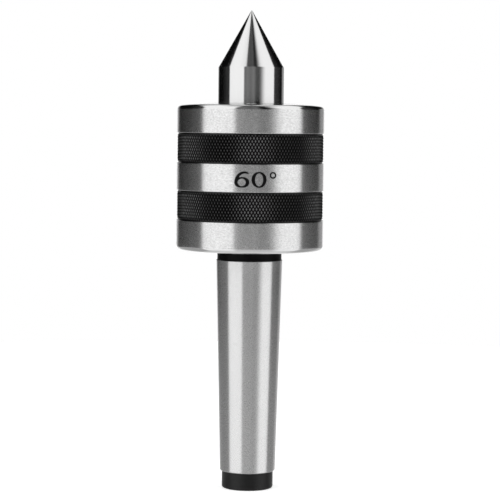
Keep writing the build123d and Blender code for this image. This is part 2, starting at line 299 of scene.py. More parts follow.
SCRATCH_MM = (0.2, 0.2, 0.12)  # a clump of scratches, round the axis and along it
LINE_PITCH_MM = 0.35
LINE_LENGTH_MM = 9.0
LINE_SHARE = 0.25  # height of the lines beside the chatter marks
CHATTER_MM = (1.6, 1.6, 60.0)


def ground_steel(
    name, dark_hex, light_hex, bright, dull, grain, grains_mm=SCRATCH_MM, wave_mm=0.003
):
    """Steel with grains of two greys, lines round the axis, and chatter marks along it.

    bright and dull are the least and the greatest roughness, and grain is the anisotropy. The
    relief is LINE_SHARE times the lines plus the chatter, and it stands for wave_mm.
    """
    material, tree, shader, place = new_material(name, Metallic=1.0, Anisotropic=grain)
    grains = noise_along(tree, place, grains_mm)
    colour = blend_colours(tree, spread(tree, grains, 0.0, 1.0), dark_hex, light_hex)
    tree.links.new(colour, shader.inputs["Base Color"])
    scratches = noise_along(tree, place, SCRATCH_MM)
    rough = spread(tree, scratches, bright, dull, from_low=0.45, from_high=0.75)
    tree.links.new(rough, shader.inputs["Roughness"])
    lines = ring_lines(tree, place, LINE_PITCH_MM, LINE_LENGTH_MM)
    chatter = noise_along(tree, place, CHATTER_MM, detail=1.0)
    inputs = {0: lines, 1: LINE_SHARE, 2: chatter}
    relief = add_node(tree, "ShaderNodeMath", inputs, operation="MULTIPLY_ADD")
    add_bump(tree, shader, relief.outputs[0], wave_mm)
    round_grain(tree, shader)
    return material


# %% The four bright finishes
LAND_GRAINS_MM = (0.8, 0.8, 0.4)
FINE_WAVE_MM = 0.0012
TOOL = {"bright": 0.27, "dull": 0.5, "grain": 0.95}
FINE = {"bright": 0.15, "dull": 0.19, "grain": 0.95, "wave_mm": FINE_WAVE_MM}
RIM = {"bright": 0.13, "dull": 0.16, "grain": 0.3, "wave_mm": FINE_WAVE_MM}

# The lands: a coarse wheel leaves grains wide enough to see, so the stripes look mottled.
LAND_STEEL = ground_steel("ground_tool_steel", "#C2C2C2", "#DEDEDE", grains_mm=LAND_GRAINS_MM, **TOOL)
# The taper: a finer wheel, so the same stripes look even and satin.
TAPER_STEEL = ground_steel("fine_ground_tool_steel", "#CACACA", "#D6D6D6", **TOOL)
# The nose: polished last, so it mirrors the room in clear stripes with the least bump.
NOSE_STEEL = ground_steel("polished_bearing_steel", "#CCCCCC", "#D2D2D2", **FINE)
# The rims: turned bright, with hardly any grain, so each shows as a thin sharp line of light.
RIM_STEEL = ground_steel("bright_turned_rim", "#CCCCCC", "#D2D2D2", **RIM)
print("bright finishes:", [m.name for m in (LAND_STEEL, TAPER_STEEL, NOSE_STEEL, RIM_STEEL)])

# %% [markdown]
# ## Black oxide
# The knurls, the neck and the end stub were left black. Black oxide is a skin of magnetite a
# thousandth of a millimetre thick, sealed with oil: nearly black, with the soft gloss of the oil.
# On the neck and the stub it isn't a bare metal to the eye, so the shader has no metallic part and
# the usual IOR of 1.5. The knurl is black and dull in its grooves and grey on its crests, with no
# edge between. That could be a second material on the crests, but a single one does it: the knurl
# is a dark metal whose colour follows the distance from the axis, from black to steel grey.


# %% Black oxide, and the same with grey crests
def distance_from_axis(tree, place):
    """Distance of a point from the Z axis, in metres: the length of (x, y, 0)."""
    flat = add_node(tree, "ShaderNodeVectorMath", {0: place, 1: (1, 1, 0)}, operation="MULTIPLY")
    length = add_node(tree, "ShaderNodeVectorMath", {0: flat.outputs[0]}, operation="LENGTH")
    return length.outputs["Value"]


def black_oxide(name, sheen=0.28):
    """Nearly black and without metal: magnetite under a film of oil.

    Blotches 2.5 mm wide change the black a little, and the roughness from 0.30 to 0.45 as the oil
    thins. sheen is the strength of the mirror in the oil.
    """
    material, tree, shader, place = new_material(name, IOR=1.5, Specular_IOR_Level=sheen)
    stains = noise_along(tree, place, (2.5, 2.5, 1.2), detail=4.0)
    colour = blend_colours(tree, spread(tree, stains, 0.0, 1.0), "#080808", "#101010")
    tree.links.new(colour, shader.inputs["Base Color"])
    tree.links.new(spread(tree, stains, 0.30, 0.45), shader.inputs["Roughness"])
    add_bump(tree, shader, ring_lines(tree, place, 0.3, 6.0), 0.002)
    return material


def graded_oxide(name, groove_mm, crest_mm):
    """Thin oxide over steel: a dark metal, black and dull in the grooves, greyer on the crests.

    The grey share rises from 0 at groove_mm from the axis to 1 at crest_mm, times a patchy 0.6 to 1.
    It takes the colour from black to grey, and the roughness from 0.34 to 0.24.
    """
    material, tree, shader, place = new_material(name, Metallic=1.0)
    radius = distance_from_axis(tree, place)
    inputs = {"Value": radius, "From Min": groove_mm * MM, "From Max": crest_mm * MM}
    height = add_node(tree, "ShaderNodeMapRange", inputs, interpolation_type="SMOOTHSTEP")
    patchy = spread(tree, noise_along(tree, place, (0.7, 0.7, 0.7)), 0.6, 1.0)
    inputs = {0: height.outputs["Result"], 1: patchy}
    crest_share = add_node(tree, "ShaderNodeMath", inputs, operation="MULTIPLY").outputs[0]
    colour = blend_colours(tree, crest_share, "#040404", "#666666")
    tree.links.new(colour, shader.inputs["Base Color"])
    rough = spread(tree, crest_share, 0.34, 0.24, from_low=0.0, from_high=1.0)
    tree.links.new(rough, shader.inputs["Roughness"])
    return material


# %% The three black finishes
KNURL_DROP = 0.25  # knurl crests under the lands, on radius
CREST_R = HOUSING_R - KNURL_DROP
BLACK_BELOW = 0.26  # under the crests, on radius: all black below this, and full grey above the next
GREY_ABOVE = 0.02

# The end stub and the floors of the recesses: black with a soft gloss.
OXIDE = black_oxide("black_oxide")
# The neck: the oxide with less mirror, the darkest and hardly shining: painted shade under the housing.
OXIDE_NECK_SHADED = black_oxide("black_oxide_painted_shade", sheen=0.05)
# The knurl: black grooves between crests that glint like steel.
OXIDE_KNURL = graded_oxide("black_oxide_grey_crests", CREST_R - BLACK_BELOW, CREST_R - GREY_ABOVE)
print("black finishes:", [m.name for m in (OXIDE, OXIDE_NECK_SHADED, OXIDE_KNURL)])

# %% [markdown]
# ## Housing and shank
# One piece of steel on the real thing: the shank was turned and ground on the same centres as the
# housing, so both run true. One outline covers all of it. It starts on the axis in the centre hole
# of the small end, climbs the outside, crosses the front rim and goes down the stepped bore. The
# knurled bands are shallow recesses here, and their knurls are pieces of their own below.

# %% Sizes of the housing and the shank, in millimetres
GAUGE_D = 23.825  # Morse taper 3 in its gauge plane, at height 0
TAPER_RATE = 1 / 19.922
TAPER_TOP_Z = 5.0
TAPER_END_Z = -72.1
STUB_DROP = 0.75  # end stub under the taper's small end, on radius
TAPER_BEVEL = 0.3
NECK_DROP = 0.34
REAR_Z = 8.8
RIM_ROUND = 1.6
CROWN = math.tan(math.radians(3.0))  # the front face rises towards the nose
FRONT_Z = FRONT_RIM_Z - (HOUSING_R - THREAD_R) * CROWN
FRONT_LAND = 10.1
BAND = 10.8
MID_LAND = 9.9
RELIEF_DROP = 0.6  # a recess's floor under the lands, and the gap beside its knurl
RELIEF_W = 0.6
EDGE_BEVEL = 0.3  # where the housing's mouth and the nut meet
MOUTH_R = 4.25  # centre hole at the end of the shank
THRUST_RELIEF_R = 14.0
THRUST_RELIEF = 1.0
CUP_RELIEF = 3.0
DRILL_HALF = math.radians(59)  # a drill's point is 118 degrees, a centre's cone is 60
CONE_HALF = math.radians(30)

taper_top_r = (GAUGE_D + TAPER_TOP_Z * TAPER_RATE) / 2
taper_end_r = (GAUGE_D + TAPER_END_Z * TAPER_RATE) / 2
neck_r = taper_top_r - NECK_DROP
stub_r = taper_end_r - STUB_DROP
band_tops = [FRONT_Z - FRONT_LAND, FRONT_Z - FRONT_LAND - BAND - MID_LAND]
print(f"front face at {FRONT_Z:.2f}, bands from {band_tops[0]:.2f} and {band_tops[1]:.2f} down")


# %% The outline of housing and shank
def centre_hole(end_z, pilot_r, depth, cone_r):
    """Corners of a centre drill's hole in a lower end, from the axis out to its mouth."""
    tip_z = end_z + depth + pilot_r / math.tan(DRILL_HALF)
    cone_z = end_z + (cone_r - pilot_r) / math.tan(CONE_HALF)
    pilot = [(pilot_r, end_z + depth, 0.1), (pilot_r, cone_z, 0.05)]
    return [(0, tip_z, 0), *pilot, (cone_r, end_z, 0.12)]


def recess(top_z):
    """Corners of one band's recess, from its lower edge to its upper edge."""
    low_z = top_z - BAND
    floor_r = HOUSING_R - RELIEF_DROP
    floor = [(floor_r, low_z, 0.08), (floor_r, top_z, 0.08)]
    return [(HOUSING_R, low_z, 0.22), *floor, (HOUSING_R, top_z, 0.22)]


body_outline = rounded(
    [
        *centre_hole(SHANK_END_Z, pilot_r=2.0, depth=9.0, cone_r=MOUTH_R),
        (stub_r, SHANK_END_Z, 0.8),
        (stub_r, TAPER_END_Z, 0.1),
        (taper_end_r - TAPER_BEVEL, TAPER_END_Z, 0.08),
        (taper_end_r, TAPER_END_Z + TAPER_BEVEL, 0.08),
        (taper_top_r, TAPER_TOP_Z, 0.1),
        (neck_r, TAPER_TOP_Z + NECK_DROP, 0.2),
        (neck_r, REAR_Z, 0.4),
        (HOUSING_R, REAR_Z, RIM_ROUND),
        *recess(band_tops[1]),
        *recess(band_tops[0]),
        (HOUSING_R, FRONT_Z, RIM_ROUND),
        (THREAD_R + EDGE_BEVEL, FRONT_RIM_Z, 0.08),
        (THREAD_R, FRONT_RIM_Z - EDGE_BEVEL, 0.08),
        (THREAD_R, NUT_Z, 0.1),
        (BORE_R, NUT_Z, 0.1),
        (BORE_R, THRUST_Z, 0.2),
        (THRUST_RELIEF_R, THRUST_Z, 0.15),
        (THRUST_RELIEF_R, THRUST_Z - THRUST_RELIEF, 0.15),
        (CUP_R, CUP_TOP_Z, 0.2),
        (CUP_R, CUP_Z - CUP_RELIEF, 0.3),
        (0, CUP_Z - CUP_RELIEF, 0),
    ],
    open_ends=True,
)
body_points, body_faces = lathe(body_outline)
print("outline points:", len(body_outline))

# %% [markdown]
# Which finish a face has is a question of where it is, so numpy answers it for all faces at once:
# the middle of each face is tested against the neck, the stub, the floors of the recesses, the two
# rims and the taper. What none of the tests finds is a ground land. Each border between two
# finishes lies just past a rounded corner, so that the round belongs to one of them as a whole.


# %% Ground steel and black oxide on one mesh
def face_middles(points, faces):
    """Radius and height of the middle of each face, taken over its first three corners."""
    corner = np.array([face[:3] for face in faces])
    middle = np.asarray(points)[corner].mean(axis=1)
    return np.hypot(middle[:, 0], middle[:, 1]), middle[:, 2]


radius, height = face_middles(body_points, body_faces)
taper_border_z = TAPER_TOP_Z + 0.03
stub_border_z = TAPER_END_Z + 0.02
rear_border_z = REAR_Z - 0.05
mouth_border_r = MOUTH_R - 0.05
recess_border_r = HOUSING_R - 0.16
recess_low_z = band_tops[1] - BAND - 0.1
recess_high_z = band_tops[0] + 0.1

# Neck and taper-top bevel take the darker oxide: painted shade, and on the bevel a painted dark
# reflection.
on_neck = (height > taper_border_z) & (height < rear_border_z) & (radius > CUP_R)
on_stub = (height < stub_border_z) & (radius > mouth_border_r) & (radius < stub_r + 0.05)
in_recess = (radius > HOUSING_R - RELIEF_DROP - 0.1) & (radius < recess_border_r)
in_recess &= (height < recess_high_z) & (height > recess_low_z)
near_front = (height > FRONT_Z - RIM_ROUND) & (radius > THREAD_R + 0.2)
near_rear = (height > rear_border_z) & (height < REAR_Z + RIM_ROUND) & (radius > neck_r + 0.5)
on_taper = (height < taper_border_z) & (radius > mouth_border_r)
tests = [on_stub | in_recess, on_neck, near_front | near_rear, on_taper]
finish = np.select(tests, [1, 2, 3, 4], 0)
finishes = [LAND_STEEL, OXIDE, OXIDE_NECK_SHADED, RIM_STEEL, TAPER_STEEL]
body = add_piece("housing_and_shank", body_points, body_faces, finishes, finish=finish)
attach(body, "housing")
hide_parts("housing_with_shank")
print("faces of each finish:", np.bincount(finish))

# %% [markdown]
# ## The knurl
# A knurl is rolled in by two hard wheels, one with right-hand and one with left-hand teeth. Their
# grooves cross and leave diamonds standing. That could be a bump texture, but then the edge of the
# band would be smooth against the light, so it is real geometry. The grid has three places to each
# half diamond: its middle, the edge of its flat top, and the place as far from the next middle.
# The height at each follows its distance to the nearest middle, counted round plus along. Cutting
# each cell of the grid along the way its groove runs gives true sharp edges.

# %% Sizes of the knurl, in millimetres
DIAMONDS = 140  # round the circle
HALF_ROWS = 9  # half diamonds along the band
KNURL_DEPTH = 0.31
FLAT = 0.08  # share of the half width that is flat on top
END_HEIGHT = 0.6  # the ends are chamfered: the height there, and its rise over half a diamond
END_RISE = 2.5
WALL_SUNK = 0.3  # the ring's inner wall under the recess's floor
knurl_len = BAND - 2 * RELIEF_W
print(f"diamonds {2 * math.pi * CREST_R / DIAMONDS:.2f} wide and {2 * knurl_len / HALF_ROWS:.2f} long")


# %% The height of a knurl
def knurl_steps(halves):
    """Grid places along halves of diamonds: k, k + FLAT and k + 1 - FLAT for each half k."""
    return (np.arange(halves)[:, None] + np.array([0, FLAT, 1 - FLAT])).ravel()


def knurl_height(column, row):
    """0 in a groove to 1 on a diamond's flat top.

    a and b are the distances to the nearest even line of diamonds, round and along. A middle lies
    where both are 0, and another where both are 1, so the distance is the lesser of a + b and
    2 - a - b. The height falls from 1 at the flat's edge to 0 where the distance is 1.
    """
    a = np.abs((column + 1) % 2 - 1)
    b = np.abs((row + 1) % 2 - 1)
    distance = np.minimum(a + b, 2 - a - b)
    return np.minimum(1, (1 - distance) / (1 - FLAT))


def knurled_band(name, top_z):
    """A closed ring: the knurl outside, chamfered ends, and a plain wall sunk into the recess.

    The radius is CREST_R less KNURL_DEPTH times what the height lacks to 1. Three cells make half a
    diamond, and whether a cell's diagonal rises changes from each half to the next.
    """
    column = knurl_steps(2 * DIAMONDS)[None, :]
    row = np.append(knurl_steps(HALF_ROWS), HALF_ROWS)[:, None]
    columns, rows = column.size, row.size
    from_end = np.minimum(row, HALF_ROWS - row)
    height = np.minimum(knurl_height(column, row), END_HEIGHT + END_RISE * from_end)
    radius = CREST_R - KNURL_DEPTH * (1 - height)
    low_z = top_z - BAND + RELIEF_W
    level = np.broadcast_to(low_z + knurl_len * row / HALF_ROWS, radius.shape)
    wall = np.full((1, columns), HOUSING_R - RELIEF_DROP - WALL_SUNK)
    radius = np.vstack([wall, radius, wall])
    level = np.vstack([level[:1], level, level[-1:]])
    angle = np.pi * column / DIAMONDS
    points = np.stack([radius * np.cos(angle), radius * np.sin(angle), level], axis=2).reshape(-1, 3)
    quads = grid_quads(rows + 2, columns, joined=True)
    cell_row = np.repeat(np.arange(rows + 2) - 1, columns)
    cell_column = np.tile(np.arange(columns), rows + 2)
    cell = (cell_row >= 0) & (cell_row < rows - 1)
    rising = ((cell_row // 3 + cell_column // 3) % 2 == 1)[cell]
    q = quads[cell]
    lower = np.where(rising[:, None], q[:, [0, 1, 2]], q[:, [0, 1, 3]])
    upper = np.where(rising[:, None], q[:, [0, 2, 3]], q[:, [1, 2, 3]])
    faces = lower.tolist() + upper.tolist() + quads[~cell].tolist()
    return add_piece(name, points, faces, [OXIDE_KNURL], smooth=False)


for band_name, band_top in zip(("knurled_band_front", "knurled_band_rear"), band_tops):
    band = knurled_band(band_name, band_top)
    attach(band, "housing")

# %% [markdown]
# ## The engraved mark
# The middle land carries a short mark. Here it is 60 and a degree sign, the angle of the point,
# which any live centre could carry. Each stroke is a ribbon along a curve, thick where the curve runs
# up and down and thin where it runs across, as a broad pen would draw it. The ribbon is wrapped
# round the land and closed into a thin solid, like lacquer that fills an engraving.

# %% Sizes of the mark, in millimetres
MARK_H = 5.6
MARK_Z = 35.0
MARK_MIDDLE = 2.4  # along the land's surface, to the right
MARK_PROUD = 0.012
MARK_SUNK = 0.1
THICK = 0.62  # half widths of a stroke
THIN = 0.26
MARK_INK = black_oxide("engraving_black", sheen=0.1)


# %% One stroke
def stroke(middle, half_width, closed):
    """A flat ribbon wrapped round the land.

    Its edges lie half_width to both sides of the middle line, at right angles to it. A point x along
    the surface goes to the angle x / R from the front, and y is its height.
    """
    if closed:
        along = np.roll(middle, -1, axis=0) - np.roll(middle, 1, axis=0)
    else:
        along = np.gradient(middle, axis=0)
    along = along / np.linalg.norm(along, axis=1, keepdims=True)
    across = np.stack([-along[:, 1], along[:, 0]], axis=1) * half_width[:, None]
    edges = np.stack([middle + across, middle - across], axis=0)
    angle = edges[..., 0] / HOUSING_R - np.pi / 2
    outer, inner = HOUSING_R + MARK_PROUD, HOUSING_R - MARK_SUNK
    ring = [(outer, 0), (outer, 1), (inner, 1), (inner, 0)]
    radius = np.array([r for r, _ in ring])[None, :]
    side = [e for _, e in ring]
    angle = angle[side].T
    height = edges[side, :, 1].T
    points = np.stack([radius * np.cos(angle), radius * np.sin(angle), height], axis=2).reshape(-1, 3)
    faces = grid_quads(len(middle), 4, joined=closed).tolist()
    if not closed:
        last = len(points) - 4
        faces += [[3, 2, 1, 0], [last, last + 1, last + 2, last + 3]]
    return points, faces


def pen(along_angle):
    """Half width of an ellipse's stroke: thick at its sides, thin at its top and bottom."""
    return THIN + (THICK - THIN) * np.abs(np.cos(along_angle)) ** 1.5


def ellipse(x, z, half_w, half_h, angle):
    """Points of an ellipse round (x, z): x + half_w cos a and z + half_h sin a for each angle a."""
    return np.stack([x + half_w * np.cos(angle), z + half_h * np.sin(angle)], axis=1)


# %% The lines of the three signs
DIGIT_HALF = 2.05  # half the width of a digit's middle line
DEGREE_R = 0.95
DEGREE_DROP = 1.2  # middle of the degree sign under the digits' top
DEGREE_PEN = 0.28
STEM_OUT = 0.95  # middle of the six's stem to the right of its bowl's
full_turn = np.linspace(0, 2 * np.pi, 72, endpoint=False)
half_h = MARK_H / 2
low = MARK_Z - half_h
six_x = MARK_MIDDLE - 5.35
zero_x = MARK_MIDDLE + 0.75
degree_x = MARK_MIDDLE + 5.75
BOWL_HALF_H = 1.6
bowl_z = low + BOWL_HALF_H + THIN
stem_angle = np.linspace(np.radians(186), np.radians(62), 40)
stem_height = MARK_H - BOWL_HALF_H - 2 * THIN
stem = ellipse(six_x + STEM_OUT, bowl_z, DIGIT_HALF + STEM_OUT, stem_height, stem_angle)
stem_width = THICK + (THIN - THICK) * np.linspace(0, 1, len(stem)) ** 1.3
bowl = ellipse(six_x, bowl_z, DIGIT_HALF, BOWL_HALF_H, full_turn)
zero = ellipse(zero_x, MARK_Z, DIGIT_HALF, half_h - THIN, full_turn)
degree = ellipse(degree_x, low + MARK_H - DEGREE_DROP, DEGREE_R, DEGREE_R, full_turn)
strokes = [
    (bowl, pen(full_turn), True),
    (stem, stem_width, False),
    (zero, pen(full_turn), True),
    (degree, np.full(len(full_turn), DEGREE_PEN), True),
]
print(f"digits {2 * (DIGIT_HALF + THICK):.2f} wide and {MARK_H:.2f} high")

# %% The strokes, joined into one piece
mark_points = []
mark_faces = []
for line, width, closed in strokes:
    some_points, some_faces = stroke(line, width, closed)
    offset = sum(len(p) for p in mark_points)
    mark_points.append(some_points)
    mark_faces += [[offset + corner for corner in face] for face in some_faces]
mark = add_piece("angle_mark", np.vstack(mark_points), mark_faces, [MARK_INK], smooth=False)
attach(mark, "housing")

# %% [markdown]
# ## Spindle and point
# The spindle turns with the work. Only its nose shows, and that was ground last and polished, so it
# is the brightest part. Its outline follows the bearings it carries: journal, waist, seats, collar
# and nose, and then the 60 degree point, which ends in a flat a hair wide.

# %% The spindle
NOSE_R = 12.0
SEAT_R = 12.5
JOURNAL_R = 6.0
WAIST_R = 10.0
TIP_R = 0.15
JOURNAL_BEVEL = 0.5
WASHER_SEAT = 3.3  # length of the seat under the shaft washer
NOSE_STEP = 0.25  # bevel from the bearing's seat down to the nose
seat_z = THRUST_TOP_Z - WASHER_SEAT
waist_z = CUP_TOP_Z + 1.0
lip_z = FRONT_BEARING_Z - 1.0
lip_r = size_of("front_bearing_inner_race")[0] - 0.2  # a lip that only the inner race leans on
point_z = TIP_Z - (NOSE_R - TIP_R) / math.tan(CONE_HALF)
spindle_outline = rounded(
    [
        *centre_hole(JOURNAL_END_Z, pilot_r=1.0, depth=5.0, cone_r=2.0),
        (JOURNAL_R - JOURNAL_BEVEL, JOURNAL_END_Z, 0.08),
        (JOURNAL_R, JOURNAL_END_Z + JOURNAL_BEVEL, 0.08),
        (JOURNAL_R, waist_z, 0.3),
        (WAIST_R, waist_z, 0.3),
        (WAIST_R, seat_z, 0.2),
        (SEAT_R, seat_z, 0.15),
        (SEAT_R, THRUST_TOP_Z, 0.1),
        (COLLAR_R, THRUST_TOP_Z, 0.2),
        (COLLAR_R, lip_z, 0.2),
        (lip_r, lip_z, 0.1),
        (lip_r, FRONT_BEARING_Z, 0.1),
        (SEAT_R, FRONT_BEARING_Z, 0.08),
        (SEAT_R, FRONT_BEARING_TOP_Z, 0.1),
        (NOSE_R, FRONT_BEARING_TOP_Z + NOSE_STEP, 0.1),
        (NOSE_R, point_z, 0.06),
        (TIP_R, TIP_Z, 0.06),
        (0, TIP_Z, 0),
    ],
    open_ends=True,
)
spindle = add_piece("spindle_and_point", *lathe(spindle_outline), [NOSE_STEEL])
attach(spindle, "spindle")
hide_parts("spindle")

# %% [markdown]
# ## Front nut
# The nut closes the housing in front. It was turned, and its face shows the fine rings that a
# turning tool leaves. Four blind holes take a pin spanner. The ring is one more lathe outline, and
# the holes are cut with a Boolean modifier, because a hole that isn't on the axis has no place in a
# surface of revolution. The cutters have a wider mouth, which leaves a small chamfer on each hole.


# %% Steel that was turned on a lathe
def turned_steel(name):
    """Rings round the axis: noise of the distance from it, as roughness and as bump.

    It looks greyer and flatter than ground steel, because a turning tool tears the surface more
    than a grinding wheel does.
    """
    material, tree, shader, place = new_material(name, Metallic=1.0, Anisotropic=0.4)
    radius = distance_from_axis(tree, place)
    ring = add_node(tree, "ShaderNodeCombineXYZ", {"X": radius})
    feed = noise_along(tree, ring.outputs[0], (0.25, 1.0, 1.0), detail=3.0)
    grains = noise_along(tree, place, (0.4, 0.4, 0.4))
    colour = blend_colours(tree, spread(tree, grains, 0.0, 1.0), "#9C9C9C", "#B0B0B0")
    tree.links.new(colour, shader.inputs["Base Color"])
    tree.links.new(spread(tree, feed, 0.13, 0.22), shader.inputs["Roughness"])
    add_bump(tree, shader, feed, 0.003)
    return material


# %% The nut and its spanner holes
HOLE_R = 1.75
HOLE_CIRCLE_R = THREAD_R - 1.5 - HOLE_R
HOLE_DEPTH = 4.0
NUT_BORE_R = NOSE_R + 0.3
HOLE_BEVEL = 0.25
CUTTER_OVER = 0.5  # the cutter stands this far out of the face
CUTTER_SEGMENTS = 48
nut_outline = rounded(
    [
        (SEAL_R, NUT_Z, 0.1),
        (THREAD_R, NUT_Z, 0.15),
        (THREAD_R, FRONT_RIM_Z - EDGE_BEVEL, 0.08),
        (THREAD_R - EDGE_BEVEL, FRONT_RIM_Z, 0.08),
        (NUT_BORE_R, NUT_FACE_Z, 0.12),
        (NUT_BORE_R, SEAL_TOP_Z, 0.1),
        (SEAL_R, SEAL_TOP_Z, 0.1),
    ]
)
nut = add_piece("front_nut_turned", *lathe(nut_outline), [turned_steel("turned_steel")])

mouth_z = FRONT_RIM_Z + (THREAD_R - HOLE_CIRCLE_R) * CROWN
cutter_outline = rounded(
    [
        (0, mouth_z - HOLE_DEPTH, 0),
        (HOLE_R, mouth_z - HOLE_DEPTH, 0.2),
        (HOLE_R, mouth_z - HOLE_BEVEL, 0.03),
        (HOLE_R + HOLE_BEVEL + CUTTER_OVER, mouth_z + CUTTER_OVER, 0.03),
        (0, mouth_z + CUTTER_OVER, 0),
    ],
    open_ends=True,
)
cutter_points, cutter_faces = lathe(cutter_outline, segments=CUTTER_SEGMENTS)
for angle in np.arange(4) * np.pi / 2:
    at = np.array([HOLE_CIRCLE_R * math.cos(angle), HOLE_CIRCLE_R * math.sin(angle), 0])
    cutter = add_piece("cutter", cutter_points + at, cutter_faces, [])
    boolean = nut.modifiers.new("hole", "BOOLEAN")
    boolean.object = cutter
    boolean.solver = "EXACT"
    depsgraph = bpy.context.evaluated_depsgraph_get()
    cut = bpy.data.meshes.new_from_object(nut.evaluated_get(depsgraph))
    nut.modifiers.clear()
    nut.data = cut
    bpy.data.objects.remove(cutter)

# %% [markdown]
# The cutting leaves a few edges too short to see. They give sliver triangles, so they are closed up
# before the nut gets its sharp edges.

# %% The nut's mesh, cleaned
SLIVER_MM = 0.002  # edges shorter than this are closed up
SMOOTH_UNDER = math.radians(28)  # edges that turn less are shaded smooth
tidy = bmesh.new()
tidy.from_mesh(nut.data)
bmesh.ops.remove_doubles(tidy, verts=tidy.verts, dist=SLIVER_MM * MM)
bmesh.ops.dissolve_degenerate(tidy, edges=tidy.edges, dist=SLIVER_MM * MM)
tidy.to_mesh(nut.data)
tidy.free()
nut.data.set_sharp_from_angle(angle=SMOOTH_UNDER)
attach(nut, "housing")
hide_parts("front_nut")
print("nut faces after the holes:", len(nut.data.polygons))

# %% [markdown]
# ## What turns inside
# The bearings and the seal are hidden, but the part comes apart, so they get their real finishes:
# lapped bearing steel, pressed sheet, moulded nylon, machined brass and nitrile rubber. The CAD
# shapes are right, but their triangles are loose and look faceted. A merged copy of each, smooth
# except at its true edges, takes the node's place.


# %% Finishes of the inner pieces
METAL_GRAIN_MM = (0.6, 0.6, 0.6)


def plain_metal(name, dark_hex, light_hex, dull, bright):
    """Metal with grains of two greys: roughness goes from bright to dull with them, over fine rings."""
    material, tree, shader, place = new_material(name, Metallic=1.0)
    grains = noise_along(tree, place, METAL_GRAIN_MM, detail=3.0)
    colour = blend_colours(tree, spread(tree, grains, 0.0, 1.0), dark_hex, light_hex)
    tree.links.new(colour, shader.inputs["Base Color"])
    tree.links.new(spread(tree, grains, bright, dull), shader.inputs["Roughness"])
    add_bump(tree, shader, ring_lines(tree, place, 0.2, 5.0), 0.001)
    return material


def moulded(name, dark_hex, light_hex, rough, grain_mm, ior):
    """Plastic or rubber from a mould: grains of two shades, roughness within 0.06, and their relief."""
    material, tree, shader, place = new_material(name, IOR=ior)
    grains = noise_along(tree, place, (grain_mm, grain_mm, grain_mm), detail=4.0)
    colour = blend_colours(tree, spread(tree, grains, 0.0, 1.0), dark_hex, light_hex)
    tree.links.new(colour, shader.inputs["Base Color"])
    tree.links.new(spread(tree, grains, rough - 0.06, rough + 0.06), shader.inputs["Roughness"])
    add_bump(tree, shader, grains, 0.01)
    return material


# %% One finish for each slot of the inner pieces
NYLON = {"rough": 0.5, "grain_mm": 0.5, "ior": 1.53}
RUBBER = {"rough": 0.6, "grain_mm": 0.3, "ior": 1.52}
INNER_FINISH = {
    # Ground races: clear reflections, a shade duller than the balls.
    "bearing_steel": plain_metal("ground_bearing_steel", "#C6C6C8", "#D2D2D4", dull=0.16, bright=0.1),
    # Lapped balls and needles: nearly perfect mirrors.
    "ball_steel": plain_metal("lapped_ball_steel", "#D4D4D6", "#DADADC", dull=0.05, bright=0.03),
    # Pressed sheet: a soft grey gloss without clear reflections.
    "shield_steel": plain_metal("pressed_sheet_steel", "#A8AAAB", "#B8BABB", dull=0.34, bright=0.26),
    # Rolled strip: a little brighter and smoother than pressed sheet.
    "shim_steel": plain_metal("rolled_strip_steel", "#B0B0B0", "#BEBEBE", dull=0.3, bright=0.22),
    # Phosphated steel: a matt slate grey that holds rubber and oil.
    "seal_case_steel": plain_metal("phosphated_steel", "#5C5E60", "#6E7072", dull=0.6, bright=0.48),
    # Drawn wire: grey, with a streak of light along each turn.
    "spring_steel": plain_metal("drawn_spring_wire", "#9C9C9C", "#B0B0B0", dull=0.3, bright=0.2),
    # Machined brass: a warm yellow metal between all the greys.
    "brass_cage": plain_metal("machined_brass", "#C9A557", "#D8B768", dull=0.28, bright=0.2),
    # Nylon with glass fibres: dull cream, with no metallic shine.
    "nylon_cage": moulded("glass_filled_nylon", "#C9BC98", "#D8CCAB", **NYLON),
    # Nitrile rubber: a soft black that takes the light evenly.
    "nitrile_rubber": moulded("nitrile_rubber", "#121213", "#1C1C1E", **RUBBER),
}
print("inner finishes:", sorted(INNER_FINISH))


# %% Merged copies of the hidden CAD nodes
SAME_POINT_M = 1e-7  # corners closer than this, in metres, are one


def merged_copy(node):
    """A copy of a CAD node with its triangles joined, smooth except at edges over SMOOTH_UNDER."""
    copy = bmesh.new()
    copy.from_mesh(frame["nodes"][node].data)
    bmesh.ops.remove_doubles(copy, verts=copy.verts, dist=SAME_POINT_M)
    mesh = bpy.data.meshes.new(node + "_finished")
    copy.to_mesh(mesh)
    copy.free()
    mesh.materials.clear()
    mesh.polygons.foreach_set("use_smooth", np.ones(len(mesh.polygons), bool))
    mesh.set_sharp_from_angle(angle=SMOOTH_UNDER)
    piece = bpy.data.objects.new(node + "_finished", mesh)
    bpy.context.scene.collection.objects.link(piece)
    return piece


slot_of = {row["node"]: row["material_slot"] for row in frame["record"]["subparts"]}
body_of_node = {n: b for b, nodes in frame["record"]["behaviour"]["bodies"].items() for n in nodes}
for node in sorted(frame["nodes"]):
    if slot_of[node] in INNER_FINISH:
        piece = merged_copy(node)
        piece.data.materials.append(INNER_FINISH[slot_of[node]])
        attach(piece, body_of_node[node])
        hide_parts(node)
print("inner pieces:", sum(slot in INNER_FINISH for slot in slot_of.values()))

# %% [markdown]
# ## The studio
# Polished steel has no look of its own: it shows what stands round it. So the room is designed like
# a product photographer's. Two tall soft boxes stand in front, left and right, with a grey gap
# where the camera looks through, black to both sides, and a low white sweep behind. Area lamps
# could do it, but each of them would also be an object to place and aim. Here all of it is one
# function of direction in the world shader. Each part is a product of ramps, and where two parts
# overlap the brighter one counts, as one lamp hides another. The camera itself sees plain white.

# %% A room made of directions
scene = bpy.context.scene
scene.view_settings.view_transform = "Standard"
world = bpy.data.worlds.new("studio")
scene.world = world
world.use_nodes = True
room = world.node_tree
room.nodes.clear()


def math_node(operation, *values):
    """One Math node on values or sockets, and its result."""
    return add_node(room, "ShaderNodeMath", dict(enumerate(values)), operation=operation).outputs[0]


